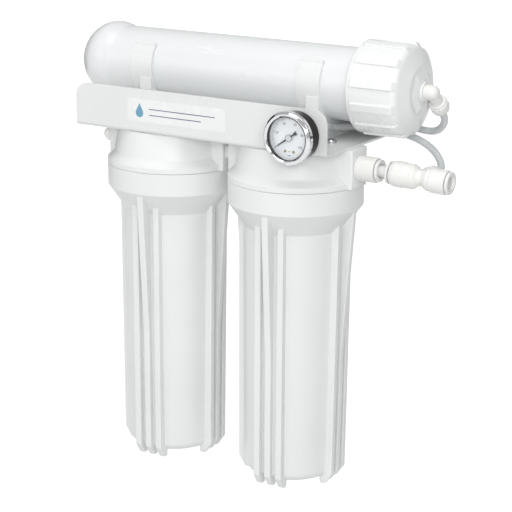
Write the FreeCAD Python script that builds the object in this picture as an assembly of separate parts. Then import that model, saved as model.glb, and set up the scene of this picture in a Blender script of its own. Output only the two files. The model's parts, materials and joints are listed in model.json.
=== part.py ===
"""Wall-hung reverse osmosis unit: two cartridge housings under a sheet bracket, a membrane
housing clipped on top of it, and a dial gauge on the bracket's front panel.

Millimetres. The origin is on the wall plane, midway between the two wall screws: +X runs to
the right along the bracket, -Y comes out from the wall and +Z is up.
"""
import FreeCAD, Part
import math
import os

Vector = FreeCAD.Vector
X = Vector(1, 0, 0)
Y = Vector(0, 1, 0)
Z = Vector(0, 0, 1)

# Main layout
head_spacing = 128.3        # between the axes of the two housings
head_y = -76.0              # the housings' axes stand this far off the wall
seam_z = -68.0              # joint between head and sump
port_z = seam_z + 16.5      # axis of the ports in the heads
shelf_z = seam_z + 33.1     # underside of the bracket's shelf, which is also the heads' top

# Bracket
sheet = 2.0
bend_radius = 3.5
bracket_left = -134.6
bracket_right = 121.0
panel_front_y = head_y - 49.8
panel_top_z = seam_z + 71.7
flange_top_z = 30.0
panel_corner = 13.0
wall_hole_spacing = 200.0
wall_hole_radius = 3.25

# Cartridge housings
collar_radius = 59.0
head_top_radius = 49.0
skirt_radius = 51.7         # the head's threaded skirt
skirt_depth = 16.0
thread_gap = 0.3
block_reach = 61.6          # from the head's axis to the face of a port block
block_half_width = 13.5
port_radius = 6.6           # plain bore of a 1/4 inch pipe thread
port_depth = 15.0
sump_height = 272.0         # from the seam to the tips of the feet
sump_floor_z = -261.2       # inside, from the seam
rib_width = 6.0
rib_pitch = 10.8
cluster_turn = 3.0          # degrees that the rib clusters are turned from the X axis

# Filter cartridges, 10 x 2.5 inch
cartridge_radius = 31.75
cartridge_bottom = -260.0
cartridge_length = 254.0
gasket = 1.0

# Membrane housing
membrane_y = head_y + 30.0
membrane_z = seam_z + 81.0
tube_radius = 31.75
bulb_x = -146.0             # where the closed end is widest
bulb_radius = 35.0
bulb_round = 26.8           # rounding of the bulb towards the tube
dome_tip_x = -177.7
cap_start = 115.2
cap_end = 170.5
cap_radius = 39.6
grip_count = 12
grip_width = 8.0
grip_turn = 17.5            # degrees from straight down to the first grip rib

# Push-fit fittings
small_tube = 6.35 / 2       # 1/4 inch tube
large_tube = 9.53 / 2       # 3/8 inch tube
collet_travel = 1.0
running = 0.06              # radial gap of a collet in its socket
flange_thickness = 2.2
collet_room = 0.35          # radial gap of a collet round its tube, which starts to bend inside it
tube_wall = 1.1

# Gauge
gauge_x = 94.3
gauge_z = seam_z + 49.4
bezel_radius = 22.2
case_radius = 20.6
gauge_depth = 20.4          # from the panel's face to the front of the bezel
dial_sweep = 250.0          # degrees from zero to full scale, symmetrical about straight up

os.makedirs("parts", exist_ok=True)


# ---------------------------------------------------------------- helpers

def save(name, shape):
    """Write one node; a list of shapes becomes a group of separate solids."""
    if isinstance(shape, (list, tuple)):
        shape = Part.makeCompound([piece for item in shape for piece in item.Solids])
    assert shape.isValid(), name
    shape.exportStep("parts/" + name + ".step")
    print(f"{name:28s} solids {len(shape.Solids)}  volume {shape.Volume / 1000:9.2f} cm3")


def one_solid(shape):
    """Refine a boolean result and check that it is a single solid."""
    clean = shape.removeSplitter()
    assert len(clean.Solids) == 1, len(clean.Solids)
    return clean.Solids[0]


def outline(corners):
    """Closed wire in the XZ plane; a corner given as (x, z, r) is rounded with radius r."""
    points = [Vector(corner[0], 0, corner[1]) for corner in corners]
    count = len(corners)
    spans = []
    for i, corner in enumerate(corners):
        here = points[i]
        radius = corner[2] if len(corner) > 2 else 0
        if radius == 0:
            spans.append((here, None, here))
            continue
        back = (points[i - 1] - here).normalize()
        ahead = (points[(i + 1) % count] - here).normalize()
        half = back.getAngle(ahead) / 2
        reach = radius / math.tan(half)
        centre = here + (back + ahead).normalize() * (radius / math.sin(half))
        middle = centre + (here - centre).normalize() * radius
        spans.append((here + back * reach, middle, here + ahead * reach))
    edges = []
    for i, (start, middle, end) in enumerate(spans):
        if middle is not None:
            edges.append(Part.Arc(start, middle, end).toShape())
        following = spans[(i + 1) % count][0]
        if (following - end).Length > 1e-6:
            edges.append(Part.LineSegment(end, following).toShape())
    return Part.Wire(edges)


def put(shape, at, along=Z):
    """Move a shape built at the origin about +Z to a place, with its axis along a direction."""
    moved = shape.copy()
    moved.Placement = FreeCAD.Placement(at, FreeCAD.Rotation(Z, along)).multiply(shape.Placement)
    return moved


def turned(corners, at=Vector(0, 0, 0), along=Z):
    """Solid of revolution of (radius, height) corners."""
    solid = Part.Face(outline(corners)).revolve(Vector(0, 0, 0), Z, 360)
    return put(solid, at, along)


def rod(radius, at, along, length):
    return Part.makeCylinder(radius, length, at, along)


def ring(outer, inner, at, along, length):
    return rod(outer, at, along, length).cut(rod(inner, at, along, length))


def hexagon(across_flats, at, along, length):
    corner = across_flats / math.sqrt(3)
    points = [Vector(corner * math.cos(math.radians(60 * i)), corner * math.sin(math.radians(60 * i)), 0)
              for i in range(7)]
    prism = Part.Face(Part.makePolygon(points)).extrude(Z * length)
    return put(prism, at, along)


def slab(x_range, y_range, z_range):
    size = [high - low for low, high in (x_range, y_range, z_range)]
    return Part.makeBox(*size, Vector(x_range[0], y_range[0], z_range[0]))


def soft_edges(solid, radius, wanted):
    """Round the edges that the test picks out."""
    edges = [edge for edge in solid.Edges if wanted(edge)]
    return solid.makeFillet(radius, edges)


# ---------------------------------------------------------------- bracket

def make_bracket():
    """U-shaped sheet: front panel, shelf, and a rear flange that is screwed to the wall."""
    width = bracket_right - bracket_left
    inner = bend_radius - sheet
    profile = outline([(panel_front_y, shelf_z, bend_radius), (0, shelf_z, bend_radius),
                       (0, flange_top_z), (-sheet, flange_top_z),
                       (-sheet, shelf_z + sheet, inner), (panel_front_y + sheet, shelf_z + sheet, inner),
                       (panel_front_y + sheet, panel_top_z), (panel_front_y, panel_top_z)])
    channel = Part.Face(profile).extrude(Y * width)
    channel.rotate(Vector(0, 0, 0), Z, 90)
    channel.translate(Vector(bracket_right, 0, 0))
    for top, low_y, high_y in ((panel_top_z, panel_front_y - 1, panel_front_y + sheet + 1),
                               (flange_top_z, -sheet - 1, 1)):
        cover = outline([(bracket_left - 1, top - 60), (bracket_right + 1, top - 60),
                         (bracket_right + 1, top + 5), (bracket_left - 1, top + 5)])
        window = outline([(bracket_left, top - 61), (bracket_right, top - 61),
                          (bracket_right, top, panel_corner), (bracket_left, top, panel_corner)])
        waste = Part.Face(cover).extrude(Y * (high_y - low_y))
        keep = Part.Face(window).extrude(Y * (high_y - low_y))
        waste = waste.cut(keep)
        waste.translate(Y * low_y)
        keep_above = slab((bracket_left - 2, bracket_right + 2), (low_y, high_y), (top - 20, top + 6))
        channel = channel.cut(waste.common(keep_above))
    holes = [rod(wall_hole_radius, Vector(side * wall_hole_spacing / 2, -sheet - 1, 0), Y, sheet + 2)
             for side in (-1, 1)]
    holes.append(rod(5.4, Vector(gauge_x, panel_front_y - 1, gauge_z), Y, sheet + 2))
    holes += [rod(2.7, at - Z * 1, Z, sheet + 2) for at in head_screw_places()]
    holes += [rod(2.2, at - Z * 1, Z, sheet + 2) for at in clip_screw_places()]
    return one_solid(channel.cut(holes))


def head_centres():
    return {side: Vector(sign * head_spacing / 2, head_y, seam_z)
            for side, sign in (("left", -1), ("right", 1))}


def head_screw_places():
    """Four screws on a circle about each head's axis, at the shelf's underside."""
    circle = 34.0
    return [Vector(centre.x + circle * math.cos(math.radians(90 * i)),
                   centre.y + circle * math.sin(math.radians(90 * i)), shelf_z)
            for centre in head_centres().values() for i in range(4)]


clip_width = 22.0
clip_arm_end = math.radians(38)     # above the tube's axis
clip_centres = {"left": -96.0, "right": 76.0}


def clip_screw_places():
    return [Vector(x, membrane_y, shelf_z) for x in clip_centres.values()]


def make_head_screws():
    """Pan-head screws through the shelf into the heads."""
    screws = []
    for at in head_screw_places():
        top = at + Z * sheet
        shank = rod(2.5, top - Z * 9.5, Z, 9.5)
        head = turned([(0, 0), (4.6, 0), (4.6, 1.6), (3.4, 2.8), (0, 2.8)], top)
        socket = hexagon(3.0, top + Z * 1.2, Z, 2)
        screws.append(shank.fuse(head).cut(socket))
    return screws


# ---------------------------------------------------------------- housing heads

def make_head(centre):
    """Head with two port blocks; water enters on +X, goes down round the cartridge, and
    comes up through the middle to the port on -X."""
    body = turned([(0, 0), (collar_radius, 0), (collar_radius, 4.5, 0.8), (54.0, 8.8, 1.5), (53.0, 10.2, 1),
                   (head_top_radius, 33.1, 2.0), (0, 33.1)])
    block = slab((-block_reach, block_reach), (-block_half_width, block_half_width), (0, 33.1))
    block = soft_edges(block, 1.6, lambda edge: abs(abs(edge.CenterOfMass.x) - block_reach) < 0.1
                       and edge.CenterOfMass.z > 1)
    skirt = rod(skirt_radius, Vector(0, 0, -skirt_depth), Z, skirt_depth + 2)
    head = body.fuse([block, skirt])
    cavity = turned([(0, -skirt_depth - 1), (46.5, -skirt_depth - 1), (46.5, -2), (44, 0), (44, 5, 2),
                     (0, 5)])
    head = head.cut(cavity)
    spigot = turned([(5.0, 6), (5.0, -4.0), (15.6, -4.0), (15.6, -4.8), (16.6, -4.8), (16.6, -3.0),
                     (14.0, -1.0), (13.0, 6)])
    head = head.fuse(spigot)
    bores = [rod(port_radius, Vector(side * block_reach, 0, 16.5), X * -side, port_depth) for side in (-1, 1)]
    bores += [rod(4.5, Vector(-block_reach + 10, 0, 16.5), X, block_reach - 10),
              rod(5.0, Vector(0, 0, -5), Z, 21.5),
              rod(4.5, Vector(block_reach - 25, 0, 16.5), X, 15),
              rod(4.5, Vector(block_reach - 25, 0, 4), Z, 12.5)]
    bores += [rod(2.55, at - centre - Z * 8, Z, 8) for at in head_screw_places()
              if abs(at.x - centre.x) < collar_radius]
    bores += [rod(1.8, at - centre - Z * 10, Z, 10) for at in clip_screw_places()
              if abs(at.x - centre.x) < head_top_radius]
    head = one_solid(head.cut(bores))
    head.translate(centre)
    return head


def make_nipple():
    """Short threaded nipple with a hexagon, joining the inner ports of the two heads."""
    gap = head_spacing - 2 * block_reach
    middle = Vector(0, head_y, port_z)
    reach = gap / 2 + port_depth - 2
    stem = rod(port_radius - 0.05, middle - X * reach, X, 2 * reach)
    grip = hexagon(17.0, middle - X * (gap / 2), X, gap)
    return one_solid(stem.fuse(grip).cut(rod(4.2, middle - X * (reach + 1), X, 2 * reach + 2)))


# ---------------------------------------------------------------- sumps and cartridges

def make_rib(offset, gusset):
    """One rib of a cluster, along the cluster's own +X; the middle one is a gusset at the top."""
    tip = sump_height
    top = [(57.6, -20.0), (48.3, -150.0)] if gusset else [(48.6, -33.0)]
    inner_top = (40.0, -20.0) if gusset else (40.0, -33.0)
    corners = [inner_top] + top + [(47.2, -262.0, 3.0), (40.5, -tip, 1.5), (35.5, -tip, 1.5),
                                   (34.5, -260.0), (40.0, -250.0)]
    rib = Part.Face(outline(corners)).extrude(Y * rib_width)
    rib.translate(Y * (offset - rib_width / 2))
    low, high = offset - rib_width / 2, offset + rib_width / 2

    def on_outer_side(edge):
        middle = edge.CenterOfMass
        beside = min(abs(middle.y - low), abs(middle.y - high)) < 0.01
        return beside and (middle.x > 43 or middle.z < -265) and middle.z < -21
    return soft_edges(rib, 0.8, on_outer_side)


def make_sump(centre):
    """Sump with a threaded collar, four clusters of three ribs and feet under the ribs."""
    outside = turned([(0, -266.5), (42.6, -266.5, 8.0), (45.0, -40.0, 2.0), (collar_radius, -20.0, 1.2),
                      (collar_radius, -thread_gap, 0.8), (30, -thread_gap), (0, -thread_gap)])
    ribs = []
    for cluster in range(4):
        for offset in (-rib_pitch, 0, rib_pitch):
            rib = make_rib(offset, offset == 0)
            rib.rotate(Vector(0, 0, 0), Z, 90 * cluster + cluster_turn)
            ribs.append(rib)
    sump = outside.fuse(ribs)
    bore = skirt_radius + thread_gap
    inside = turned([(0, 1), (bore, 1), (bore, -17.8), (47.5, -17.8), (47.5, -19, 1), (40.8, -36, 3),
                     (38.5, sump_floor_z, 6.0), (0, sump_floor_z)])
    groove = Part.makeTorus(49.6, 1.75, Vector(0, 0, -17.8), Z)
    locator = ring(34.6, 32.4, Vector(0, 0, sump_floor_z - 1), Z, 9)
    sump = one_solid(sump.cut([inside, groove]).fuse(locator))
    sump.translate(centre)
    return sump


def make_sump_seal(centre):
    """O-ring in the sump's ledge, just under the head's skirt."""
    return Part.makeTorus(49.6, 1.6, centre - Z * 17.8, Z)


def make_cartridge(centre, plate):
    """Cartridge pieces from the bottom up; plate is the thickness of each end cap."""
    base = centre + Z * cartridge_bottom
    media_length = cartridge_length - 2 * plate
    core_outer = 15.5
    cap_profile = [(12.5, 0), (cartridge_radius - 1, 0), (cartridge_radius, 1), (cartridge_radius, plate),
                   (12.5, plate)]
    return {
        "media": ring(cartridge_radius - 0.6, core_outer, base + Z * plate, Z, media_length),
        "core": ring(core_outer, core_outer - 1.8, base + Z * plate, Z, media_length),
        "bottom_cap": turned(cap_profile, base),
        "top_cap": turned([(radius, plate - height) for radius, height in reversed(cap_profile)],
                          base + Z * (plate + media_length)),
        "gaskets": [ring(18.5, 12.8, base - Z * gasket, Z, gasket),
                    ring(18.5, 12.8, base + Z * cartridge_length, Z, gasket - 0.1)],
    }


# ---------------------------------------------------------------- membrane housing

def membrane_point(x, dy=0, dz=0):
    return Vector(x, membrane_y + dy, membrane_z + dz)


thread_radius = 34.4
neck_end = 146.0
element_radius = 22.9
outlet_dy = 16.0
outlet_dzs = {"permeate": 10.0, "concentrate": -10.0}
outlet_face_x = -176.3
outlet_reach = 9.5          # from a boss's face to the mouth of its connector


def dome_centre():
    """Centre and radius of the end's spherical part, tangent to the bulb's rounding."""
    rise = bulb_radius - bulb_round
    inner_tip = dome_tip_x + bulb_round
    centre = (inner_tip ** 2 - bulb_x ** 2 - rise ** 2) / (2 * (inner_tip - bulb_x))
    return centre, centre - dome_tip_x


dome_x, dome_radius = dome_centre()


def closed_end():
    """Bulb and dome at the closed end, as a solid of revolution that starts inside the tube."""
    rise = bulb_radius - bulb_round
    neck_x = bulb_x + math.sqrt(bulb_round ** 2 - (tube_radius - rise) ** 2)
    to_bulb = Vector(bulb_x - dome_x, 0, rise).normalize()
    centre = Vector(dome_x, 0, 0)
    touch = centre + to_bulb * dome_radius
    halfway = centre + (to_bulb - X).normalize() * dome_radius
    neck = Vector(neck_x, 0, tube_radius)
    tip = Vector(dome_tip_x, 0, 0)
    foot = Vector(neck_x, 0, 0)
    edges = [Part.Arc(neck, Vector(bulb_x, 0, bulb_radius), touch).toShape(),
             Part.Arc(touch, halfway, tip).toShape(),
             Part.LineSegment(tip, foot).toShape(),
             Part.LineSegment(foot, neck).toShape()]
    solid = Part.Face(Part.Wire(edges)).revolve(Vector(0, 0, 0), X, 360)
    solid.translate(Vector(0, membrane_y, membrane_z))
    return solid


def make_membrane_housing():
    """Tube with a domed closed end that carries two outlet bosses, and a threaded open end."""
    outer = rod(tube_radius, membrane_point(dome_x), X, neck_end - dome_x)
    outer = outer.fuse([closed_end(),
                        rod(thread_radius, membrane_point(cap_start + 5), X, neck_end - cap_start - 5)])
    bosses = [rod(7.6, membrane_point(outlet_face_x, outlet_dy, dz), X, 18) for dz in outlet_dzs.values()]
    neck_ring = turned([(30, 0), (tube_radius + 0.5, 0, 0.3), (tube_radius + 0.5, 3.8, 0.3), (30, 3.8)],
                       membrane_point(cap_start - 4.2), X)
    outer = outer.fuse(bosses + [neck_ring])
    hollow = rod(28.2, membrane_point(dome_x), X, neck_end - dome_x + 1)
    hollow = hollow.fuse(Part.makeSphere(dome_radius - 4.2, membrane_point(dome_x)).common(
        slab((dome_x - 40, dome_x + 0.1), (-200, 100), (-100, 100))))
    seat = rod(12.0, membrane_point(dome_x - 34), X, 22).cut(rod(8.7, membrane_point(dome_x - 24), X, 30))
    shell = outer.cut(hollow).fuse(seat.common(Part.makeSphere(dome_radius - 2, membrane_point(dome_x))))
    bores = [rod(4.7, membrane_point(outlet_face_x - 1, outlet_dy, dz), X, 12) for dz in outlet_dzs.values()]
    start = membrane_point(outlet_face_x + 8, outlet_dy, outlet_dzs["permeate"])
    end = membrane_point(dome_x - 20, 0, 0)
    bores.append(rod(1.8, start, end - start, (end - start).Length))
    start = membrane_point(outlet_face_x + 8, outlet_dy, outlet_dzs["concentrate"])
    bores.append(rod(1.8, start, X, 14))
    groove = ring(28.2 + 2.4, 28.0, membrane_point(neck_end - 4.0), X, 4.1)
    return one_solid(shell.cut(bores + [groove]))


def make_cap():
    """Screw cap with a leading ring, grip ribs, a domed end and a six-sided boss round the port."""
    length = cap_end - cap_start
    seat = neck_end - cap_start
    body = turned([(33.0, 0), (cap_radius, 0, 0.8), (cap_radius, 2.0, 0.4), (cap_radius - 0.9, 2.3),
                   (cap_radius - 0.9, 2.9), (cap_radius - 0.1, 3.4, 0.5),
                   (cap_radius - 1.2, length - 11.9, 7.0), (22.0, length - 4.3, 4.0), (0, length - 4.3),
                   (0, seat + 8.0), (24.0, seat + 8.0), (24.0, seat + 1.0), (28.0, seat + 1.0),
                   (33.0, seat - 2.0)])
    rib_side = outline([(36, 3.6), (cap_radius + 1.4, 3.6, 0.8), (cap_radius + 0.9, length - 14, 4.0),
                        (36, length - 11)])
    ribs = []
    for i in range(grip_count):
        rib = Part.Face(rib_side).extrude(Y * grip_width)
        rib.translate(Y * (-grip_width / 2))
        rib = soft_edges(rib, 1.0, lambda edge: abs(abs(edge.CenterOfMass.y) - grip_width / 2) < 0.01
                         and edge.CenterOfMass.x > 38.5)
        rib.rotate(Vector(0, 0, 0), Z, grip_turn + 360 / grip_count * i)
        ribs.append(rib)
    hub = rod(8.4, Vector(0, 0, length - 6), Z, 6)
    cap = body.fuse(ribs + [make_boss(length), hub])
    thread = rod(thread_radius + 0.15, Vector(0, 0, 4.8), Z, seat - 4.8)
    mouth = rod(tube_radius + 0.2, Vector(0, 0, -1), Z, 8)
    port = rod(port_radius, Vector(0, 0, length - 14), Z, 15)
    feed = rod(4.0, Vector(0, 0, seat + 5), Z, length - seat - 15)
    cap = one_solid(cap.cut([thread, mouth, port, feed]))
    return put(cap, membrane_point(cap_start), X)


def make_boss(length):
    """Six-sided pyramid stump on the cap's end, round the port."""
    angles = [math.radians(98 + 60 * i) for i in range(7)]
    rings = [Part.makePolygon([Vector(radius * math.cos(angle), radius * math.sin(angle), height)
                               for angle in angles])
             for radius, height in ((26.0, length - 6.5), (13.6, length - 2.2))]
    return Part.makeLoft(rings, True, True)


def make_cap_seal():
    """O-ring in the mouth of the housing, under the cap's inner face."""
    return Part.makeTorus(28.2 + 1.2, 1.15, membrane_point(neck_end - 2.0), X)


def make_element():
    """Spiral-wound membrane element: roll, permeate tube with its O-ring, and brine seal."""
    start = dome_x - 22
    roll_start = -125.0
    roll_length = 254.0
    core = ring(8.5, 6.0, membrane_point(start), X, roll_start + roll_length + 12 - start)
    core = core.cut(ring(9.0, 7.3, membrane_point(start + 3), X, 2.2))
    roll = ring(element_radius, 8.5, membrane_point(roll_start), X, roll_length)
    seal_x = roll_start + roll_length - 12
    seal = turned([(element_radius, 0), (25.0, 0), (28.15, 8.0), (27.2, 8.4), (24.4, 2.0), (24.4, 6),
                   (element_radius, 6)], membrane_point(seal_x), X)
    o_ring = Part.makeTorus(8.0, 0.65, membrane_point(start + 4.1), X)
    return {"membrane_roll": roll, "membrane_core_tube": core, "membrane_brine_seal": seal,
            "membrane_core_seal": o_ring}


def make_clip(x):
    """C-shaped clip on a foot with a side wall; its arms reach above the tube's axis and end in lips."""
    inner = tube_radius + 0.05
    outer = inner + 2.7
    start = Vector(x - clip_width / 2, membrane_y, membrane_z)
    hoop = ring(outer, inner, start, X, clip_width)
    across = math.cos(clip_arm_end)
    up = math.sin(clip_arm_end)
    reach = 60
    corners = [(0, 0), (-across, up), (-across, 1), (across, 1), (across, up), (0, 0)]
    mouth = Part.Face(Part.makePolygon([start + Vector(0, dy, dz) * reach for dy, dz in corners]))
    mouth = mouth.extrude(X * clip_width)
    base_z = shelf_z + sheet
    foot = slab((x - 7, x + 7), (membrane_y - 9, membrane_y + 9), (base_z, membrane_z - tube_radius - 1.5))
    lips = [rod(1.7, start + Vector(0, side * across, up) * (outer - 1.0), X, clip_width)
            for side in (-1, 1)]
    side = slab((x - 1, x + clip_width / 2), (membrane_y - outer, membrane_y + 26), (base_z, membrane_z - 8))
    clip = hoop.cut(mouth).fuse([foot, side] + lips)
    room = [rod(5.4, at + Z * sheet, Z, 4.0) for at in head_screw_places()]
    clip = clip.cut(room + [rod(inner, start - X, X, clip_width + 2)])
    screw_hole = rod(2.2, Vector(x, membrane_y, base_z - 1), Z, 40)
    head_hole = rod(4.2, Vector(x, membrane_y, base_z + 8), Z, 40)
    return one_solid(clip.cut([screw_hole, head_hole]))


def make_clip_screws():
    screws = []
    for at in clip_screw_places():
        head_base = at + Z * (sheet + 8)
        head = rod(3.9, head_base, Z, 2.6).cut(hexagon(2.5, head_base + Z * 1.1, Z, 2))
        screws.append(head.fuse(rod(1.75, head_base - Z * 18.5, Z, 18.5)))
    return screws


# ---------------------------------------------------------------- push-fit fittings

class Socket:
    """One push-fit socket: its mouth, the direction out of it and the tube that it takes."""

    def __init__(self, mouth, out, tube, sleeve_length=15.0):
        self.mouth = mouth
        self.out = Vector(out).normalize()
        self.tube = tube
        self.depth = sleeve_length
        self.sleeve = tube + 1.6        # outside of the collet's stem
        self.flange = 1.5 * self.sleeve

    def waste(self, channel):
        """Cuts for the fitting: the collet's bore, the seal's room, the tube's seat, the way on."""
        inward = self.out * -1
        seal_at = self.mouth + inward * (self.depth * 0.52)
        seat_at = self.mouth + inward * (self.depth * 0.52 + 2.4)
        return [rod(self.sleeve + running, self.mouth + self.out, inward, self.depth * 0.52 + 1),
                rod(self.tube + 1.5, seal_at, inward, 2.4),
                rod(self.tube + 0.05, seat_at, inward, self.depth * 0.48 - 2.4),
                rod(channel, seat_at, inward, self.depth * 0.48 + 8)]

    def collet(self):
        """Collet with a flange outside the mouth; it can be pressed in by its travel."""
        stem = self.depth * 0.52 - collet_travel - 0.3
        bore = self.tube + collet_room
        face = collet_travel + flange_thickness
        profile = [(bore, -stem), (self.sleeve, -stem), (self.sleeve, collet_travel),
                   (self.flange, collet_travel), (self.flange, face, 0.7), (bore + 1.6, face),
                   (bore, face - 2.0)]
        return turned(profile, self.mouth, self.out)

    def seal(self):
        centre = self.mouth - self.out * (self.depth * 0.52 + 1.2)
        return Part.makeTorus(self.tube + 0.85, 0.6, centre, self.out)

    def tube_end(self):
        """Where the end of the tube rests."""
        return self.mouth - self.out * (self.depth - 0.5)


def sleeve_body(socket, outer, length, step=None):
    """Round body behind a socket's mouth, with a shallow step near the mouth."""
    step = length * 0.55 if step is None else step
    return turned([(0, -length), (outer - 0.7, -length, 1.2), (outer - 0.7, -step), (outer, -step + 0.6),
                   (outer, -0.01, 1.2), (0, -0.01)], socket.mouth, socket.out)


def make_fitting(bodies, sockets, channel):
    """Fuse a fitting's bodies and cut all its sockets."""
    solid = bodies[0].fuse(bodies[1:])
    waste = [piece for socket in sockets for piece in socket.waste(channel)]
    return one_solid(solid.cut(waste))


head_right_face = head_spacing / 2 + block_reach
port_line = Vector(0, head_y, port_z)
connector_mouth_x = 143.2
tee_droop = math.radians(2.3)       # the tee hangs a little on its stub of tube
tee_run = Vector(math.cos(tee_droop), 0, -math.sin(tee_droop))
stub_bend = port_line + X * 150.0
tee_centre = stub_bend + tee_run * 32.0
tee_half_length = 25.2
tee_branch_length = 25.0
tee_branch_fall = math.radians(4)
tee_branch_out = Vector(-math.sin(tee_droop) * math.sin(tee_branch_fall), math.cos(tee_branch_fall),
                        -math.cos(tee_droop) * math.sin(tee_branch_fall))
elbow_corner = membrane_point(176.0)
elbow_out = Vector(0, 0.75, -0.66).normalize()
outlet_corner = Vector(-head_right_face - 8.3, head_y, port_z)
outlet_out = Vector(0, math.cos(math.radians(20)), math.sin(math.radians(20)))
gauge_tube_mouth = Vector(gauge_x, panel_front_y + sheet + 26.2, gauge_z)


def make_sockets():
    """Every push-fit socket by name."""
    outlets = {name: membrane_point(outlet_face_x - outlet_reach, outlet_dy, dz)
               for name, dz in outlet_dzs.items()}
    return {
        "connector": Socket(port_line + X * connector_mouth_x, X, large_tube, 14.0),
        "tee_left": Socket(tee_centre - tee_run * tee_half_length, tee_run * -1, large_tube, 17.0),
        "tee_right": Socket(tee_centre + tee_run * tee_half_length, tee_run, large_tube, 17.0),
        "tee_branch": Socket(tee_centre + tee_branch_out * tee_branch_length, tee_branch_out,
                             small_tube, 14.5),
        "cap_elbow": Socket(elbow_corner + elbow_out * 22.5, elbow_out, small_tube, 14.5),
        "outlet_elbow": Socket(outlet_corner + outlet_out * 22.5, outlet_out, small_tube, 14.5),
        "gauge_connector": Socket(gauge_tube_mouth, Y, small_tube, 12.0),
        "permeate": Socket(outlets["permeate"], X * -1, small_tube, 13.0),
        "concentrate": Socket(outlets["concentrate"], X * -1, small_tube, 13.0),
    }


def make_connector(socket):
    """Male connector in the right head's outer port."""
    face = port_line + X * head_right_face
    length = connector_mouth_x - head_right_face
    body = turned([(0, 0), (10.75, 0, 0.6), (10.75, length, 0.9), (0, length)], face, X)
    stem = rod(port_radius - 0.05, face - X * (port_depth - 2), X, port_depth)
    through = rod(3.0, face - X * port_depth, X, port_depth + 8)
    return one_solid(make_fitting([body, stem], [socket], 3.2).cut(through))


def make_tee(sockets):
    """Reducing tee: two 3/8 inch sockets in line and a 1/4 inch branch to the rear."""
    half = tee_half_length
    run = turned([(0, -half), (9.8, -half, 1.0), (11.0, 3.4 - half, 1.2), (11.0, 11.4 - half),
                  (10.5, 11.8 - half), (10.5, -5.6), (9.9, -5.2), (9.9, -3.8, 1.0), (6.9, -0.8, 1.5),
                  (6.9, 3.0, 1.5), (9.6, 8.0, 1.0), (9.6, 10.8), (10.4, 11.6, 0.5), (10.4, half, 1.2),
                  (0, half)], tee_centre, tee_run)
    branch = rod(6.6, tee_centre, tee_branch_out, tee_branch_length - 10)
    mouth = sleeve_body(sockets[2], 7.6, 13.5)
    solid = run.fuse([branch, mouth])
    waste = sockets[0].waste(3.2) + sockets[1].waste(3.2) + sockets[2].waste(2.2)
    waste += [rod(3.0, tee_centre - tee_run * 12, tee_run, 24), rod(2.0, tee_centre, tee_branch_out, 12)]
    return one_solid(solid.cut(waste))


def make_elbow(corner, stem_end, inward, socket, outer=8.2):
    """Push-fit elbow with a threaded stem; inward points from the corner into the thread."""
    leg_length = (stem_end - corner).Length
    stem_length = 12.0
    leg = rod(6.4, corner, inward, leg_length)
    stem = rod(port_radius - 0.05, corner + inward * leg_length, inward, stem_length)
    knee = Part.makeSphere(6.4, corner)
    throat = rod(5.4, corner, socket.out, 14)
    mouth = sleeve_body(socket, outer, 9.5, 7.4)
    reach = leg_length + stem_length + 1
    bore = rod(2.2, corner + inward * reach, inward * -1, reach)
    solid = make_fitting([leg, stem, knee, throat, mouth], [socket], 2.3)
    return one_solid(solid.cut([bore, Part.makeSphere(2.5, corner)]))


def make_outlet_connector(socket):
    """Short male connector in one of the membrane housing's outlet bosses."""
    face = Vector(outlet_face_x, socket.mouth.y, socket.mouth.z)
    grip = hexagon(12.5, face, X * -1, 3.6)
    body = turned([(0, 3.4), (6.1, 3.4), (6.9, 4.0), (6.9, outlet_reach, 1.0), (0, outlet_reach)],
                  face, X * -1)
    stem = rod(4.65, face + X * 7, X * -1, 8)
    bore = rod(1.6, face + X * 8, X * -1, 12)
    return one_solid(make_fitting([grip, body, stem], [socket], 1.6).cut(bore))


# ---------------------------------------------------------------- flexible tubes

gauge_tube_points = [
    (181.94, -65.03, -53.55), (181.9, -50.4, -54.6), (181.2, -34.5, -56.5), (177.4, -25.0, -50.0),
    (167.0, -20.0, -40.6), (152.0, -19.0, -33.2), (133.0, -19.5, -29.4), (112.0, -23.0, -26.4),
    (95.5, -37.0, -26.0), (89.5, -58.0, -23.6), (94.0, -84.0, -18.8), (94.3, -109.1, -18.6)]
feed_tube_points = [
    (176.0, -39.62, 7.38), (176.0, -27.6, -3.2), (175.9, -16.5, -16.0), (165.5, -9.8, -27.4),
    (147.5, -8.8, -27.6), (121.0, -8.6, -19.5), (80.0, -8.4, -17.0), (2.0, -8.8, -21.0),
    (-62.0, -8.4, -17.4), (-100.0, -8.2, -17.0), (-123.0, -8.6, -18.0), (-137.5, -12.5, -22.5),
    (-142.5, -23.0, -30.0), (-137.8, -34.0, -36.3), (-134.05, -50.4, -42.18), (-134.05, -68.01, -48.59)]


def tube_path(points):
    """Straight runs joined by tangent arcs, each as large as its two runs allow."""
    places = [Vector(*point) for point in points]
    edges = []
    here = places[0]
    radii = []
    for before, corner, after in zip(places, places[1:], places[2:]):
        back = (before - corner).normalize()
        ahead = (after - corner).normalize()
        turn = math.pi - back.getAngle(ahead)
        reach = 0.45 * min((before - corner).Length, (after - corner).Length)
        radius = reach / math.tan(turn / 2)
        centre = corner + (back + ahead).normalize() * (radius / math.cos(turn / 2))
        middle = centre + (corner - centre).normalize() * radius
        start = corner + back * reach
        edges.append(Part.LineSegment(here, start).toShape())
        here = corner + ahead * reach
        edges.append(Part.Arc(start, middle, here).toShape())
        radii.append(radius)
    edges.append(Part.LineSegment(here, places[-1]).toShape())
    return Part.Wire(edges), radii


def make_stub(start, end):
    """Short piece of 3/8 inch tube between the connector and the tee, with a slight bend."""
    path, _ = tube_path([tuple(start), tuple(stub_bend), tuple(end)])
    pipes = [path.makePipeShell([Part.Wire(Part.makeCircle(radius, start, X))], True, True)
             for radius in (large_tube, large_tube - tube_wall)]
    return pipes[0].cut(pipes[1])


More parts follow.
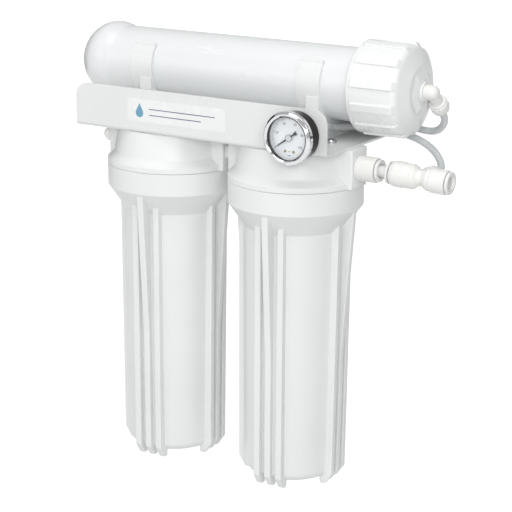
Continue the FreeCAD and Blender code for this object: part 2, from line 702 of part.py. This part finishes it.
def make_flexible_tube(name, points):
    """Solid tube along a route; prints the arcs' radii and compares volume with section x length."""
    path, radii = tube_path(points)
    first = Vector(*points[0])
    section = Part.Wire(Part.makeCircle(small_tube, first, Vector(*points[1]) - first))
    tube = path.makePipeShell([section], True, True)
    expected = math.pi * small_tube ** 2 * path.Length
    print(name, "radii", [round(radius, 1) for radius in radii], "length", round(path.Length, 1),
          "volume ratio", round(tube.Volume / expected, 4))
    return tube


# ---------------------------------------------------------------- gauge

def gauge_at(depth):
    """Point on the gauge's axis, measured forwards from the panel's face."""
    return Vector(gauge_x, panel_front_y - depth, gauge_z)


def make_gauge():
    """Dial gauge, screwed to the panel by a nut on its stem."""
    out = Y * -1
    depth = gauge_depth
    case = turned([(5.2, 0.2), (case_radius, 0.2, 1.5), (case_radius, depth - 3.6),
                   (case_radius - 1, depth - 3.6), (case_radius - 1, 1.6), (5.2, 1.6)], gauge_at(0), out)
    bezel_bore = case_radius + 0.05
    bezel = turned([(bezel_bore, depth - 7.4), (bezel_radius - 0.6, depth - 7.4), (bezel_radius, depth - 6.4),
                    (bezel_radius, depth - 2.2, 1.4), (19.6, depth, 0.9), (18.2, depth - 1.4),
                    (18.2, depth - 2.0), (bezel_bore, depth - 2.0)], gauge_at(0), out)
    lens = rod(case_radius - 0.1, gauge_at(depth - 3.6), out, 1.6)
    dial = ring(19.3, 1.6, gauge_at(depth - 7.6), out, 0.8)
    stem_length = 13.5
    block_front = 8.0
    dial_back = depth - 7.6
    block = slab((gauge_x - 5, gauge_x + 5), (panel_front_y - block_front, panel_front_y - 2),
                 (gauge_z - 15.5, gauge_z + 4))
    collar = rod(7.0, gauge_at(1.6), out, 1.4)
    stem = rod(4.86, gauge_at(-stem_length), out, stem_length + 3).fuse([collar, block])
    stem = one_solid(stem.cut(rod(1.5, gauge_at(-stem_length - 1), out, stem_length + 4)))
    coil = Part.makeTorus(13.5, 1.9, gauge_at(5.8), Y, 0, 360, 250)
    coil.rotate(gauge_at(5.8), Y, 270)
    coil = one_solid(coil.cut(block))
    movement = slab((gauge_x - 6, gauge_x + 6), (panel_front_y - dial_back, panel_front_y - block_front),
                    (gauge_z - 4, gauge_z + 4))
    movement = movement.cut(rod(0.65, gauge_at(block_front), out, dial_back - block_front))
    nut = hexagon(15.0, gauge_at(-sheet), Y, 4.5).cut(rod(4.9, gauge_at(-sheet), Y, 4.5))
    return {"gauge_case": case, "gauge_bezel": bezel, "gauge_lens": lens, "gauge_dial": dial,
            "gauge_stem": stem, "gauge_bourdon_tube": coil, "gauge_movement": movement, "gauge_nut": nut}


def make_needle():
    """Needle on its arbor, at rest on zero, at the lower left."""
    out = Y * -1
    depth = gauge_depth
    plane = depth - 5.6
    hub = rod(2.65, gauge_at(plane), out, 1.2)
    arbor = rod(0.6, gauge_at(9.0), out, plane - 9.0 + 0.2)
    half_outline = [(0, 16.6), (0.5, 10.0), (0.8, 0), (0.6, -5.2), (1.8, -8.6)]
    corners = half_outline + [(-x, y) for x, y in reversed(half_outline[1:])] + half_outline[:1]
    pointer = Part.Face(Part.makePolygon([Vector(x, y, 0) for x, y in corners])).extrude(Z * 0.5)
    pointer.Placement = FreeCAD.Placement(gauge_at(plane + 0.2), FreeCAD.Rotation(X, 90))
    pointer.rotate(gauge_at(0), Y, -dial_sweep / 2)
    return one_solid(hub.fuse([arbor, pointer]))


def make_gauge_connector(socket):
    """Straight push-fit connector, screwed on the end of the gauge's stem."""
    length = 21.5
    grip_length = 8.0
    back = socket.mouth - socket.out * length
    grip = hexagon(14.0, back, socket.out, grip_length)
    solid = make_fitting([grip, sleeve_body(socket, 7.6, length - grip_length + 1)], [socket], 2.2)
    return one_solid(solid.cut(rod(4.91, back - socket.out, socket.out, grip_length + 0.2)))


# ---------------------------------------------------------------- assembly

def build():
    centres = head_centres()
    save("bracket", make_bracket())
    save("head_screws", make_head_screws())
    save("head_nipple", make_nipple())
    for side, centre in centres.items():
        save(side + "_head", make_head(centre))
        save(side + "_sump", make_sump(centre))
        save(side + "_sump_seal", make_sump_seal(centre))
        plate = {"left": 9.0, "right": 5.0}[side]
        for piece, shape in make_cartridge(centre, plate).items():
            save(side + "_cartridge_" + piece, shape)
        save(side + "_membrane_clip", make_clip(clip_centres[side]))
    save("clip_screws", make_clip_screws())
    save("membrane_housing", make_membrane_housing())
    save("membrane_cap", make_cap())
    save("membrane_cap_seal", make_cap_seal())
    for name, shape in make_element().items():
        save(name, shape)

    sockets = make_sockets()
    save("port_connector", make_connector(sockets["connector"]))
    save("inlet_tee", make_tee([sockets["tee_left"], sockets["tee_right"], sockets["tee_branch"]]))
    cap_stem_end = membrane_point(cap_end)
    save("cap_elbow", make_elbow(elbow_corner, cap_stem_end, X * -1, sockets["cap_elbow"]))
    outlet_stem_end = Vector(-head_right_face, head_y, port_z)
    save("outlet_elbow", make_elbow(outlet_corner, outlet_stem_end, X, sockets["outlet_elbow"], 7.8))
    save("gauge_connector", make_gauge_connector(sockets["gauge_connector"]))
    for name in ("permeate", "concentrate"):
        save(name + "_connector", make_outlet_connector(sockets[name]))
    for name, socket in sockets.items():
        save(name + "_collet", socket.collet())
    save("fitting_seals", [socket.seal() for socket in sockets.values()])
    save("stub_tube", make_stub(sockets["connector"].tube_end(), sockets["tee_left"].tube_end()))
    save("gauge_tube", make_flexible_tube("gauge_tube", gauge_tube_points))
    save("feed_tube", make_flexible_tube("feed_tube", feed_tube_points))

    for name, shape in make_gauge().items():
        save(name, shape)
    save("gauge_needle", make_needle())
    label = slab((-78.0, 24.0), (panel_front_y - 0.25, panel_front_y), (seam_z + 43.0, seam_z + 63.0))
    label = soft_edges(label, 3.0, lambda edge: abs(edge.Length - 0.25) < 0.01)
    save("panel_label", label)


build()
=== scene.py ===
"""Looks of the wall-hung reverse osmosis unit: materials, tubes, dial print and small details.

Metres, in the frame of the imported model: +X runs along the bracket, -Y comes out from the wall,
+Z is up.
"""
import bmesh
import bpy
import json
import math
from mathutils import Matrix, Vector


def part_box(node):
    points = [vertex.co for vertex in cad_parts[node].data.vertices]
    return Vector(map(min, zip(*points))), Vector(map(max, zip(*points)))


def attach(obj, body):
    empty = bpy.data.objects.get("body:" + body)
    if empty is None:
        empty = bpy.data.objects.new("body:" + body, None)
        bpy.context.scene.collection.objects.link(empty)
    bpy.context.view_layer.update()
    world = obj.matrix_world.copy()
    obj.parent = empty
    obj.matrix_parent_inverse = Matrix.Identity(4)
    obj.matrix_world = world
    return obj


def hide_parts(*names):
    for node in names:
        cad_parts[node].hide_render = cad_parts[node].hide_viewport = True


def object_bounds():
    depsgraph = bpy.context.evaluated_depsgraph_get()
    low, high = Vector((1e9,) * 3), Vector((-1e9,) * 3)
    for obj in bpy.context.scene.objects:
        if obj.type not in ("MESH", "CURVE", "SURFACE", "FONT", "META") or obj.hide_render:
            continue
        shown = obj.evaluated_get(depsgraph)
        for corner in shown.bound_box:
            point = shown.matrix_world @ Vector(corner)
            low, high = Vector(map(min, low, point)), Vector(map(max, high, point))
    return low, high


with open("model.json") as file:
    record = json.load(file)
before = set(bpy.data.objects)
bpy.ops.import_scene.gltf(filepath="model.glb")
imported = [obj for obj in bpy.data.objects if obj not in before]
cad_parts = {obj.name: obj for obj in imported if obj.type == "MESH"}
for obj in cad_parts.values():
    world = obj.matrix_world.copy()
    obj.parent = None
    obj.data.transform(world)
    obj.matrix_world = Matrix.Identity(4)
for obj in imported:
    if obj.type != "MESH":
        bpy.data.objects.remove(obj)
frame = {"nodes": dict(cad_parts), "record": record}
cad_low, cad_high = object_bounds()
nodes = frame["nodes"]

MM = 0.001


# ---------------------------------------------------------------- shader helpers

white = (1, 1, 1, 1)


def set_inputs(node, values):
    """Constants on a node's input sockets; _ stands for the spaces in their names."""
    for name, value in values.items():
        node.inputs[name.replace("_", " ")].default_value = value


def add(tree, kind, **values):
    """New shader node with constants on its input sockets."""
    node = tree.nodes.new(kind)
    set_inputs(node, values)
    return node


# ---------------------------------------------------------------- camera, floor and lights

camera_place = (0.7214, -1.2070, 0.2359)
camera_yaw, camera_pitch, camera_roll = 31.645, 15.973, 0.515       # degrees
camera_lens, camera_sensor = 109.3, 36.0                            # mm
camera_reach = 50.0

floor_half = 12.0
floor_drop = 0.02           # under the feet, so that the sumps can come down
ambient_strength = 0.6

aim = (0, -0.07, -0.14)     # about the middle of the object
softboxes = {               # place, size and watts
    "key_left": ((-1.0, -1.8, 0.5), (1.2, 0.8), 4),
    "key_top": ((0.1, -0.6, 1.5), (1.4, 1.0), 7),
    "key_front": ((0.9, -1.65, 0.46), (1.1, 0.5), 12),
    "fill_right": ((1.25, -0.85, 0.95), (0.6, 0.6), 3)}
dark_cards = {              # place and size
    "dark_right": ((1.1, 0.55, 0.15), (1.2, 1.4)),
    "dark_left": ((-1.25, 0.3, 0.1), (1.0, 1.3))}


def link(thing):
    bpy.context.scene.collection.objects.link(thing)


def turn_to_aim(thing, place, axis):
    """Put an object in its place, with one of its axes towards the aim."""
    thing.location = place
    thing.rotation_mode = "QUATERNION"
    thing.rotation_quaternion = (Vector(aim) - Vector(place)).to_track_quat(axis, "Y")


def make_camera():
    """Long lens, seen from the right and from a little above."""
    yaw, pitch, roll = (math.radians(angle) for angle in (camera_yaw, camera_pitch, camera_roll))
    camera = bpy.data.cameras.new("camera")
    camera.lens = camera_lens
    camera.sensor_width = camera_sensor
    camera.clip_end = camera_reach
    holder = bpy.data.objects.new("camera", camera)
    turn = (Matrix.Rotation(yaw, 4, "Z") @ Matrix.Rotation(math.pi / 2 - pitch, 4, "X")
            @ Matrix.Rotation(roll, 4, "Z"))
    holder.matrix_world = Matrix.Translation(camera_place) @ turn
    link(holder)
    bpy.context.scene.camera = holder


def make_sheet(name, half_x, half_y, z, **sockets):
    """Flat rectangle with one plain material, for the stage."""
    mesh = bpy.data.meshes.new(name)
    corners = [(-half_x, -half_y, z), (half_x, -half_y, z), (half_x, half_y, z), (-half_x, half_y, z)]
    mesh.from_pydata(corners, [], [(0, 1, 2, 3)])
    sheet = bpy.data.objects.new(name, mesh)
    link(sheet)
    material = bpy.data.materials.new(name)
    material.use_nodes = True
    set_inputs(material.node_tree.nodes["Principled BSDF"], sockets)
    mesh.materials.append(material)
    return sheet


def make_floor():
    """Plain pale floor that casts no light on the object."""
    floor = make_sheet("floor", floor_half, floor_half, cad_low.z - floor_drop,
                       Base_Color=(0.3, 0.301, 0.301, 1), Roughness=0.6, Specular_IOR_Level=0.2,
                       Emission_Color=white, Emission_Strength=0.93)
    floor.visible_diffuse = False


def make_softbox(name, place, size, power):
    """Rectangular light that faces the object, unseen by the camera."""
    light = bpy.data.lights.new(name, "AREA")
    light.shape = "RECTANGLE"
    light.size, light.size_y = size
    light.energy = power
    holder = bpy.data.objects.new(name, light)
    turn_to_aim(holder, place, "-Z")
    holder.visible_camera = False
    link(holder)


def make_dark_card(name, place, size):
    """Dark card beside the object, unseen by the camera, for darker edges and reflections."""
    card = make_sheet(name, size[0] / 2, size[1] / 2, 0,
                      Base_Color=(0.015, 0.015, 0.016, 1), Roughness=0.9)
    turn_to_aim(card, place, "Z")
    card.visible_camera = False
    card.visible_shadow = False
    card.visible_transmission = False


def make_world():
    """Even ambient light, and a white backdrop for the camera."""
    world = bpy.data.worlds.new("studio")
    world.use_nodes = True
    tree = world.node_tree
    ambient = tree.nodes["Background"]
    set_inputs(ambient, {"Color": white, "Strength": ambient_strength})
    backdrop = add(tree, "ShaderNodeBackground", Color=white, Strength=1.0)
    path = tree.nodes.new("ShaderNodeLightPath")
    mix = tree.nodes.new("ShaderNodeMixShader")
    tree.links.new(path.outputs["Is Camera Ray"], mix.inputs["Fac"])
    tree.links.new(ambient.outputs["Background"], mix.inputs[1])
    tree.links.new(backdrop.outputs["Background"], mix.inputs[2])
    tree.links.new(mix.outputs["Shader"], tree.nodes["World Output"].inputs["Surface"])
    bpy.context.scene.world = world


def make_lights():
    for name, (place, size, power) in softboxes.items():
        make_softbox(name, place, size, power)
    for name, (place, size) in dark_cards.items():
        make_dark_card(name, place, size)
    make_world()
    bpy.context.scene.view_settings.view_transform = "Standard"


# ---------------------------------------------------------------- materials

def noise(tree, scale, detail=3.0, stretch=None):
    """Noise texture in object space, in cycles per metre; stretch scales the three axes."""
    place = tree.nodes.get("place") or tree.nodes.new("ShaderNodeTexCoord")
    place.name = "place"
    texture = add(tree, "ShaderNodeTexNoise", Scale=scale, Detail=detail)
    source = place.outputs["Object"]
    if stretch:
        mapping = tree.nodes.new("ShaderNodeMapping")
        mapping.inputs["Scale"].default_value = stretch
        tree.links.new(source, mapping.inputs["Vector"])
        source = mapping.outputs["Vector"]
    tree.links.new(source, texture.inputs["Vector"])
    return texture.outputs["Fac"]


def spread(tree, value, low, high, start=0.35, end=0.65):
    """Map a value between start and end to a range; the defaults suit a noise."""
    node = add(tree, "ShaderNodeMapRange", From_Min=start, From_Max=end, To_Min=low, To_Max=high)
    tree.links.new(value, node.inputs["Value"])
    return node.outputs["Result"]


def tint(tree, value, dark, light):
    """Colour between two tones."""
    node = tree.nodes.new("ShaderNodeMix")
    node.data_type = "RGBA"
    set_inputs(node, {"A": (*dark, 1), "B": (*light, 1)})
    tree.links.new(value, node.inputs["Factor"])
    return node.outputs["Result"]


smear_scale = 2.7               # finer than the mottle
gloss_low, gloss_high = 0.88, 1.14


def make_finish(name, light, dark, roughness, grain, height, mottle=22.0, stretch=None, **sockets):
    """Solid finish: mottled colour, uneven gloss and a fine grain in the surface.

    grain and mottle are in cycles per metre, and height is the depth of the grain in metres.
    """
    material = bpy.data.materials.new(name)
    material.use_nodes = True
    tree = material.node_tree
    shader = tree.nodes["Principled BSDF"]
    set_inputs(shader, sockets)
    cloud = noise(tree, mottle, 4.0, stretch)
    tree.links.new(tint(tree, spread(tree, cloud, 0, 1), dark, light), shader.inputs["Base Color"])
    fine = noise(tree, grain, 2.0, stretch)
    smear = noise(tree, mottle * smear_scale, 3.0, stretch)
    uneven = spread(tree, smear, roughness * gloss_low, roughness * gloss_high)
    tree.links.new(uneven, shader.inputs["Roughness"])
    bump = add(tree, "ShaderNodeBump", Distance=height, Strength=1.0)
    tree.links.new(fine, bump.inputs["Height"])
    tree.links.new(bump.outputs["Normal"], shader.inputs["Normal"])
    return material


def thin_clear(name):
    """Clear lens: lets the dial through and reflects more at a grazing view, alike on both faces."""
    reflection_facing, reflection_grazing = 0.02, 0.45
    material = bpy.data.materials.new(name)
    material.use_nodes = True
    tree = material.node_tree
    tree.nodes.clear()
    output = tree.nodes.new("ShaderNodeOutputMaterial")
    through = add(tree, "ShaderNodeBsdfTransparent", Color=(0.985, 0.99, 0.99, 1))
    gloss = add(tree, "ShaderNodeBsdfGlossy", Color=white, Roughness=0.03)
    grazing = add(tree, "ShaderNodeLayerWeight", Blend=0.5)
    share = spread(tree, grazing.outputs["Facing"], reflection_facing, reflection_grazing, 0.3, 1.0)
    bump = add(tree, "ShaderNodeBump", Distance=0.00001, Strength=0.5)
    tree.links.new(noise(tree, 60.0), bump.inputs["Height"])
    tree.links.new(bump.outputs["Normal"], gloss.inputs["Normal"])
    mix = tree.nodes.new("ShaderNodeMixShader")
    tree.links.new(share, mix.inputs["Fac"])
    tree.links.new(through.outputs["BSDF"], mix.inputs[1])
    tree.links.new(gloss.outputs["BSDF"], mix.inputs[2])
    tree.links.new(mix.outputs["Shader"], output.inputs["Surface"])
    return material


finishes = {
    "powder_coat": dict(light=(0.76, 0.77, 0.765), dark=(0.74, 0.75, 0.747), roughness=0.34,
        grain=900, height=0.00003, Coat_Weight=0.15, Coat_Roughness=0.2),
    "housing_white": dict(light=(0.80, 0.812, 0.810), dark=(0.78, 0.793, 0.79), roughness=0.36,
        grain=1500, height=0.00002, mottle=14.0),
    "membrane_white": dict(light=(0.80, 0.815, 0.82), dark=(0.785, 0.80, 0.805), roughness=0.25,
        grain=700, height=0.00001, stretch=(0.15, 1, 1)),
    "cap_white": dict(light=(0.84, 0.85, 0.852), dark=(0.825, 0.835, 0.838), roughness=0.30,
        grain=1200, height=0.00002),
    "clip_white": dict(light=(0.80, 0.815, 0.815), dark=(0.79, 0.805, 0.803), roughness=0.30,
        grain=1200, height=0.00002),
    "fitting_acetal": dict(light=(0.84, 0.84, 0.82), dark=(0.81, 0.81, 0.785), roughness=0.33,
        grain=1600, height=0.00002, mottle=60.0),
    "collet_grey": dict(light=(0.81, 0.815, 0.80), dark=(0.78, 0.785, 0.77), roughness=0.36,
        grain=1600, height=0.00002),
    "tube_natural": dict(light=(0.63, 0.65, 0.66), dark=(0.58, 0.60, 0.61), roughness=0.26,
        grain=900, height=0.00002, mottle=90.0, Coat_Weight=0.3, Coat_Roughness=0.15),
    "stub_natural": dict(light=(0.80, 0.81, 0.79), dark=(0.76, 0.77, 0.75), roughness=0.3,
        grain=900, height=0.00002),
    "steel": dict(light=(0.62, 0.63, 0.64), dark=(0.5, 0.51, 0.52), roughness=0.3, grain=2500,
        height=0.00002, Metallic=1.0),
    "chrome": dict(light=(0.70, 0.71, 0.72), dark=(0.62, 0.63, 0.64), roughness=0.07, grain=500,
        height=0.000004, Metallic=1.0),
    # near-black metal for the gauge's case: painted dark reflection of the surroundings on a chrome
    # case
    "case_steel_painted_dark": dict(light=(0.03, 0.027, 0.025), dark=(0.022, 0.02, 0.019), roughness=0.16,
        grain=900, height=0.00001, Metallic=1.0),
    "brass": dict(light=(0.72, 0.55, 0.28), dark=(0.6, 0.44, 0.2), roughness=0.28, grain=2500,
        height=0.00002, Metallic=1.0),
    "dial": dict(light=(0.92, 0.935, 0.96), dark=(0.89, 0.905, 0.935), roughness=0.4, grain=2500,
        height=0.00001),
    "needle_black": dict(light=(0.03, 0.03, 0.032), dark=(0.018, 0.018, 0.02), roughness=0.35,
        grain=3000, height=0.00001),
    "seal_rubber": dict(light=(0.045, 0.045, 0.045), dark=(0.03, 0.03, 0.03), roughness=0.6,
        grain=2000, height=0.00003),
    "cartridge_plastic": dict(light=(0.82, 0.82, 0.81), dark=(0.78, 0.78, 0.77), roughness=0.4,
        grain=1500, height=0.00002),
    "carbon_block": dict(light=(0.05, 0.05, 0.05), dark=(0.02, 0.02, 0.02), roughness=0.85,
        grain=900, height=0.0002),
    "polypropylene_depth": dict(light=(0.86, 0.86, 0.84), dark=(0.74, 0.74, 0.72), roughness=0.8,
        grain=500, height=0.0004, stretch=(1, 1, 0.2)),
    "element_wrap": dict(light=(0.55, 0.60, 0.66), dark=(0.45, 0.5, 0.57), roughness=0.3, grain=600,
        height=0.00005),
    "label_film": dict(light=(0.83, 0.84, 0.835), dark=(0.815, 0.825, 0.82), roughness=0.26,
        grain=800, height=0.00001),
    "print_grey": dict(light=(0.13, 0.16, 0.23), dark=(0.09, 0.12, 0.19), roughness=0.5, grain=3000,
        height=0.000005),
    "print_gold": dict(light=(0.34, 0.30, 0.15), dark=(0.28, 0.24, 0.11), roughness=0.5, grain=3000,
        height=0.000005),
    "print_blue": dict(light=(0.16, 0.36, 0.50), dark=(0.12, 0.30, 0.44), roughness=0.4, grain=2000,
        height=0.000005),
}


def make_materials():
    """One finish for each material slot of the record, and a few for the added pieces."""
    materials = {name: make_finish(name, **values) for name, values in finishes.items()}
    materials["lens"] = thin_clear("lens")
    return materials


def paint_nodes(materials):
    """Each node's slot material; the gauge's case gets a near-black steel whose darkness is a painted
    dark reflection.
    """
    for part in frame["record"]["subparts"]:
        mesh = nodes[part["node"]].data
        mesh.materials.clear()
        mesh.materials.append(materials[part["material_slot"]])
    nodes["gauge_case"].data.materials[0] = materials["case_steel_painted_dark"]


# ---------------------------------------------------------------- flexible tubes

tube_diameter = 6.35 * MM

gauge_tube_points = [
    (181.94, -65.03, -53.55), (181.9, -50.4, -54.6), (181.2, -34.5, -56.5), (177.4, -25.0, -50.0),
    (167.0, -20.0, -40.6), (152.0, -19.0, -33.2), (133.0, -19.5, -29.4), (112.0, -23.0, -26.4),
    (95.5, -37.0, -26.0), (89.5, -58.0, -23.6), (94.0, -84.0, -18.8), (94.3, -109.1, -18.6)]
feed_tube_points = [
    (176.0, -39.62, 7.38), (176.0, -27.6, -3.2), (175.9, -16.5, -16.0), (165.5, -9.8, -27.4),
    (147.5, -8.8, -27.6), (121.0, -8.6, -19.5), (80.0, -8.4, -17.0), (2.0, -8.8, -21.0),
    (-62.0, -8.4, -17.4), (-100.0, -8.2, -17.0), (-123.0, -8.6, -18.0), (-137.5, -12.5, -22.5),
    (-142.5, -23.0, -30.0), (-137.8, -34.0, -36.3), (-134.05, -50.4, -42.18), (-134.05, -68.01, -48.59)]


def make_tube(node, points, materials):
    """1/4 inch tube on a smooth line from fitting to fitting."""
    curve = bpy.data.curves.new(node + "_line", "CURVE")
    curve.dimensions = "3D"
    curve.bevel_depth = tube_diameter / 2
    curve.bevel_resolution = 8
    curve.resolution_u = 12
    curve.use_fill_caps = True
    spline = curve.splines.new("NURBS")
    spline.points.add(len(points) - 1)
    for point, place in zip(spline.points, points):
        point.co = (*(value * MM for value in place), 1)
    spline.order_u = 3
    spline.use_endpoint_u = True
    curve.materials.append(materials["tube_natural"])
    tube = bpy.data.objects.new(node + "_line", curve)
    link(tube)
    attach(tube, "root")
    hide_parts(node)


# ---------------------------------------------------------------- gauge details and label print

def add_piece(name, build, material, body="root"):
    """Mesh piece from a function that fills a bmesh, riding on a body."""
    mesh = bpy.data.meshes.new(name)
    work = bmesh.new()
    build(work)
    bmesh.ops.recalc_face_normals(work, faces=work.faces)
    work.to_mesh(mesh)
    work.free()
    mesh.materials.append(material)
    piece = bpy.data.objects.new(name, mesh)
    link(piece)
    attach(piece, body)


def dial_point(x, z, height):
    """Point over the dial, in metres; x and z from its centre and height from its face, in mm."""
    return Vector((dial_centre.x + x * MM, dial_face - height * MM, dial_centre.z + z * MM))


def turn_rows(work, profile, steps):
    """Rows of vertices round the gauge's axis from (radius, height) points."""
    rows = []
    for step in range(steps):
        angle = 2 * math.pi * step / steps
        across, up = math.cos(angle), math.sin(angle)
        rows.append([work.verts.new(dial_point(radius * across, radius * up, height))
                     for radius, height in profile])
    return rows


def turn_section(work, section, steps=96):
    """Sweep a closed section of (radius, height) about the gauge's axis."""
    rows = turn_rows(work, section, steps)
    for step, row in enumerate(rows):
        ahead = rows[(step + 1) % steps]
        for i in range(len(section)):
            j = (i + 1) % len(section)
            face = work.faces.new((row[i], row[j], ahead[j], ahead[i]))
            face.smooth = True


def turn_solid(work, profile, steps=48):
    """Revolve (radius, height) points about the gauge's axis; the first and the last lie on it."""
    first = work.verts.new(dial_point(0, 0, profile[0][1]))
    last = work.verts.new(dial_point(0, 0, profile[-1][1]))
    rows = turn_rows(work, profile[1:-1], steps)
    for step, row in enumerate(rows):
        ahead = rows[(step + 1) % steps]
        faces = [work.faces.new((first, row[0], ahead[0])),
                 work.faces.new((last, ahead[-1], row[-1]))]
        faces += [work.faces.new((row[i], row[i + 1], ahead[i + 1], ahead[i]))
                  for i in range(len(row) - 1)]
        for face in faces:
            face.smooth = True


def raise_outline(work, corners, base, top, place):
    """Thin solid from an outline of (x, z) corners; place(x, z, height) gives a point in metres."""
    low = [work.verts.new(place(x, z, base)) for x, z in corners]
    high = [work.verts.new(place(x, z, top)) for x, z in corners]
    work.faces.new(low)
    work.faces.new(list(reversed(high)))
    for i in range(len(corners)):
        j = (i + 1) % len(corners)
        work.faces.new((low[j], low[i], high[i], high[j]))


def block(start, end, low, high):
    """Corners of an upright rectangle."""
    return [(start, low), (end, low), (end, high), (start, high)]


def disc(x, z, radius, steps=24):
    """Corners of a round spot."""
    turns = [2 * math.pi * i / steps for i in range(steps)]
    return [(x + radius * math.cos(turn), z + radius * math.sin(turn)) for turn in turns]


def bar(angle, inner, outer, width):
    """Corners of a radial mark; the angle is counted clockwise from straight up."""
    along = Vector((math.sin(angle), math.cos(angle)))
    across = Vector((along.y, -along.x)) * (width / 2)
    return [tuple(point) for point in (along * inner - across, along * inner + across,
                                       along * outer + across, along * outer - across)]


dial_low, dial_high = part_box("gauge_dial")
dial_centre = (dial_low + dial_high) / 2
dial_face = dial_low.y
dial_sweep = math.radians(250)  # as far as the needle turns
scale_radius = 16.6             # outer ends of the scale's marks, in mm
scale_steps, steps_per_long_mark = 50, 5
number_radius, number_size = 12.2, 3.0
number_count, number_step = 6, 20
print_base = -0.02              # prints start just under the face they lie on
dial_print_top, label_print_top = 0.04, 0.03


def scale_angle(share):
    """Clockwise angle from straight up at a share of the scale."""
    return dial_sweep * (share - 0.5)


def make_number(index, materials):
    """Raised number beside the scale."""
    name = f"gauge_number_{index}"
    angle = scale_angle(index / (number_count - 1))
    text = bpy.data.curves.new(name, "FONT")
    text.body = str(number_step * index)
    text.size = number_size * MM
    text.align_x = "CENTER"
    text.align_y = "CENTER"
    text.extrude = 0.02 * MM
    text.materials.append(materials["print_grey"])
    number = bpy.data.objects.new(name, text)
    number.location = dial_point(number_radius * math.sin(angle), number_radius * math.cos(angle), 0.03)
    number.rotation_euler = (math.pi / 2, 0, 0)
    link(number)
    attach(number, "root")


def make_gauge_details(materials):
    """Scale, numbers, a black ring on the recess wall round the dial that is painted shade of the
    recess, a black lens gasket whose dark ring is also painted shade of the gap, and a bright hub on
    the needle.
    """
    def printed(work, corners):
        raise_outline(work, corners, print_base, dial_print_top, dial_point)

    def marks(work):
        for i in range(scale_steps + 1):
            inner, width = (15.4, 0.2) if i % steps_per_long_mark else (14.6, 0.34)
            printed(work, bar(scale_angle(i / scale_steps), inner, scale_radius, width))
        printed(work, block(-1.6, 1.6, -15.0, -14.5))

    def gold_marks(work):
        for side in (-1, 1):
            printed(work, disc(side * 4.0, -11.4, 1.25))
        printed(work, block(-1.1, 1.1, -11.6, -11.2))

    # black ring on the recess wall round the dial: painted shade of the recess and painted dark
    # reflection
    def liner(work):
        turn_section(work, [(19.25, 0.02), (19.25, 3.15), (18.7, 3.15), (18.7, 0.02)])

    # black rubber gasket under the lens; its dark ring also stands for painted shade in the gap between
    # bezel and lens
    def gasket(work):
        turn_section(work, [(18.15, 4.82), (18.15, 5.2), (17.55, 5.2), (17.55, 4.82)])

    def hub(work):
        turn_solid(work, [(0, 1.9), (2.85, 1.9), (2.85, 2.05), (2.75, 2.3), (2.35, 2.5), (1.5, 2.62),
                          (0, 2.66)])

    add_piece("gauge_scale", marks, materials["print_grey"])
    add_piece("gauge_dial_marks", gold_marks, materials["print_gold"])
    add_piece("gauge_recess_shade_ring", liner, materials["needle_black"])
    add_piece("gauge_lens_gasket_and_shade", gasket, materials["needle_black"])
    add_piece("gauge_hub", hub, materials["steel"], body="needle")
    for index in range(number_count):
        make_number(index, materials)


def make_label_print(materials):
    """Plain drop and two blank rules on the label film; lengths in mm about the film's middle."""
    low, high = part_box("panel_label")
    middle = (low + high) / 2
    front = low.y
    drop_x, drop_z, drop_radius, drop_tip = -38.0, -2.0, 4.0, 6.6
    drop_start, drop_turn, drop_steps = 35, 250, 24
    rule_start, rule_height = -28.0, 0.8

    def film_point(x, z, height):
        return (middle.x + x * MM, front - height * MM, middle.z + z * MM)

    def printed(work, corners):
        raise_outline(work, corners, print_base, label_print_top, film_point)

    def drop(work):
        """Round below, with a tip straight above its centre."""
        corners = [(drop_x, drop_tip)]
        for i in range(drop_steps + 1):
            angle = math.radians(drop_start - drop_turn * i / drop_steps)
            corners.append((drop_x + drop_radius * math.cos(angle),
                            drop_z + drop_radius * math.sin(angle)))
        printed(work, corners)

    def rules(work):
        for z, end in ((1.6, 40.0), (-3.6, 26.0)):
            printed(work, block(rule_start, end, z, z + rule_height))

    add_piece("label_drop", drop, materials["print_blue"])
    add_piece("label_rules", rules, materials["print_grey"])


# ---------------------------------------------------------------- build

make_camera()
make_floor()
make_lights()
materials = make_materials()
paint_nodes(materials)
make_tube("gauge_tube", gauge_tube_points, materials)
make_tube("feed_tube", feed_tube_points, materials)
make_gauge_details(materials)
make_label_print(materials)
